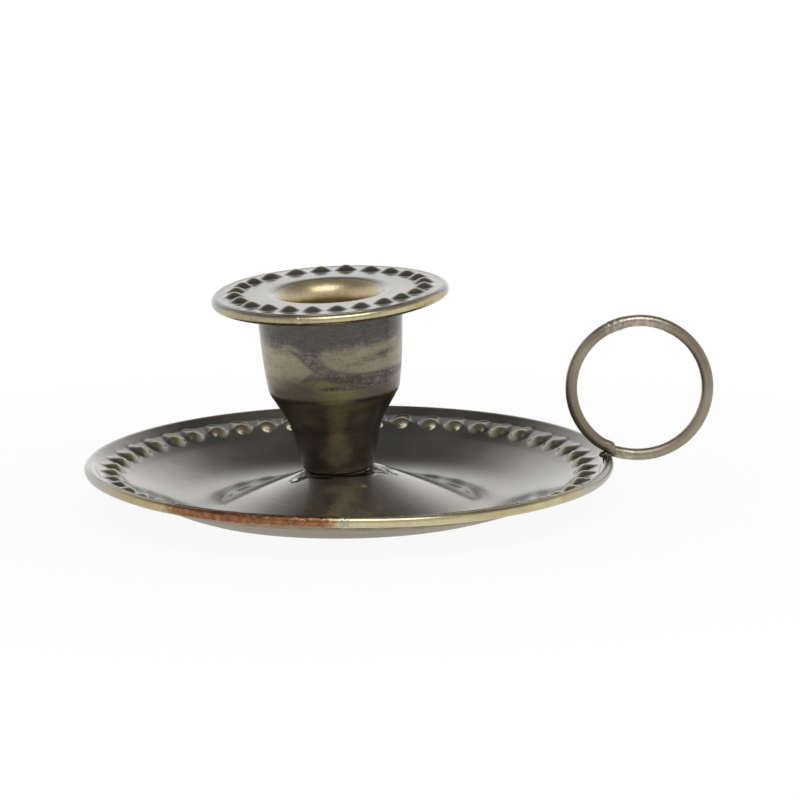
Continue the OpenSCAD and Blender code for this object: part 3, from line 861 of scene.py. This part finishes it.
def make_ring_braze():
    """The dark lump of braze that the finger ring stands in."""
    rows, columns = 40, 56
    polar_turn = np.pi * (np.arange(rows) + 0.02) / (rows - 0.96)
    around = 2 * np.pi * np.arange(columns) / columns
    way = np.stack([
        np.sin(polar_turn)[:, None] * np.cos(around),
        np.sin(polar_turn)[:, None] * np.sin(around),
        np.cos(polar_turn)[:, None] + 0 * around,
    ], axis=2)
    r = 1 + 0.06 * lumps(way, 1.2, 96)
    grid = r[..., None] * way * np.array([1.8, 1.2, 1.0]) + np.array([66.1, 0, 12.2])
    piece = mesh_piece("ring_fillet", grid, masks={"shine": 0.1})
    finish_piece(piece, braze_metal, "braze", "ring_braze")


def dress_seams():
    """The frame's own seams of braze get their material."""
    for name in ("collar_rim_braze", "collar_braze"):
        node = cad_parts[name]
        node.data.materials.clear()
        node.data.materials.append(braze_metal)


make_welds()
make_pan_seam()
make_foot_braze()
make_ring_braze()
dress_seams()


# Camera, at the photograph's angle, with the middle of the pan's rim as its target

PHOTO_PX = 800
CAMERA_RISE = math.radians(12.14)
CAMERA_ROLL = math.radians(0.94)
CAMERA_DISTANCE = 1.5
FOCAL_PX = 5857.65
TARGET_PX = (348.08, 462.50)
SENSOR_MM = 36.0


def make_camera():
    camera = bpy.data.objects.new("camera", bpy.data.cameras.new("camera"))
    bpy.context.scene.collection.objects.link(camera)
    back = Vector((0, -math.cos(CAMERA_RISE), math.sin(CAMERA_RISE)))
    camera.location = Vector((0, 0, PAN_RIM_H * MM)) + CAMERA_DISTANCE * back
    level = Matrix.Rotation(math.pi / 2 - CAMERA_RISE, 4, "X")
    camera.rotation_euler = (level @ Matrix.Rotation(-CAMERA_ROLL, 4, "Z")).to_euler()
    camera.data.sensor_width = SENSOR_MM
    camera.data.lens = FOCAL_PX * SENSOR_MM / PHOTO_PX
    camera.data.shift_x = (PHOTO_PX / 2 - TARGET_PX[0]) / PHOTO_PX
    camera.data.shift_y = (TARGET_PX[1] - PHOTO_PX / 2) / PHOTO_PX
    camera.data.clip_end = 10.0
    bpy.context.scene.camera = camera


# Studio: a white floor, a light tent with a dark top, and one soft lamp high at the front

def make_world():
    world = bpy.data.worlds.new("tent")
    bpy.context.scene.world = world
    world.use_nodes = True
    tree = world.node_tree
    direction = add(tree, "SeparateXYZ", {0: add(tree, "TexCoord").outputs["Generated"]}).outputs
    high = ramp(tree, direction[2], 0.37, 0.81)
    tent = mix_colour(tree, high, (1, 1, 1, 1), (0.2, 0.2, 0.2, 1))
    front_side = ramp(tree, math_node(tree, "MULTIPLY", direction[1], -1.0), 0.35, 0.85)
    tent = mix_colour(tree, math_node(tree, "MULTIPLY", front_side, 0.6), tent, (0.3, 0.3, 0.3, 1))
    seen = add(tree, "LightPath").outputs["Is Camera Ray"]
    colour = mix_colour(tree, seen, tent, (1, 1, 1, 1))
    tree.links.new(colour, tree.nodes["Background"].inputs["Color"])


def make_floor():
    size = 3.0
    mesh = bpy.data.meshes.new("floor")
    mesh.from_pydata([(-size, -size, 0), (size, -size, 0), (size, size, 0), (-size, size, 0)], [], [(0, 1, 2, 3)])
    floor = bpy.data.objects.new("floor", mesh)
    bpy.context.scene.collection.objects.link(floor)
    material, tree, shader = new_material("floor_paper")
    shader.inputs["Base Color"].default_value = (0.86, 0.86, 0.86, 1)
    shader.inputs["Roughness"].default_value = 0.9
    shader.inputs["Specular IOR Level"].default_value = 0.0
    path = add(tree, "LightPath").outputs
    seen = math_node(tree, "MAXIMUM", path["Is Camera Ray"], path["Is Glossy Ray"])
    reach = add(tree, "VectorMath", {0: add(tree, "TexCoord").outputs["Object"]}, operation="LENGTH").outputs["Value"]
    near_share = mix_value(tree, ramp(tree, reach, 0.07, 0.25), 0.93, 1.0)
    glow = add(tree, "Emission", {"Color": (1, 1, 1, 1), "Strength": 1.0}).outputs[0]
    blend = add(tree, "MixShader", {0: math_node(tree, "MULTIPLY", seen, near_share), 1: shader.outputs[0], 2: glow})
    tree.links.new(blend.outputs[0], tree.nodes["Material Output"].inputs["Surface"])
    mesh.materials.append(material)


def make_lamp(name, side, rise, distance, size, watts):
    """A soft lamp that looks at the object, side degrees to the right of the camera."""
    lamp = bpy.data.objects.new(name, bpy.data.lights.new(name, "AREA"))
    lamp.data.shape = "RECTANGLE"
    lamp.data.size, lamp.data.size_y = size
    lamp.data.energy = watts
    way = Vector((math.sin(side) * math.cos(rise), -math.cos(side) * math.cos(rise), math.sin(rise)))
    lamp.location = way * distance
    lamp.rotation_euler = way.to_track_quat("Z", "Y").to_euler()
    bpy.context.scene.collection.objects.link(lamp)


make_camera()
make_world()
make_floor()
make_lamp("front_softbox", math.radians(9), math.radians(59), 1.0, (0.8, 0.5), 4.0)

bpy.context.scene.view_settings.view_transform = "Standard"
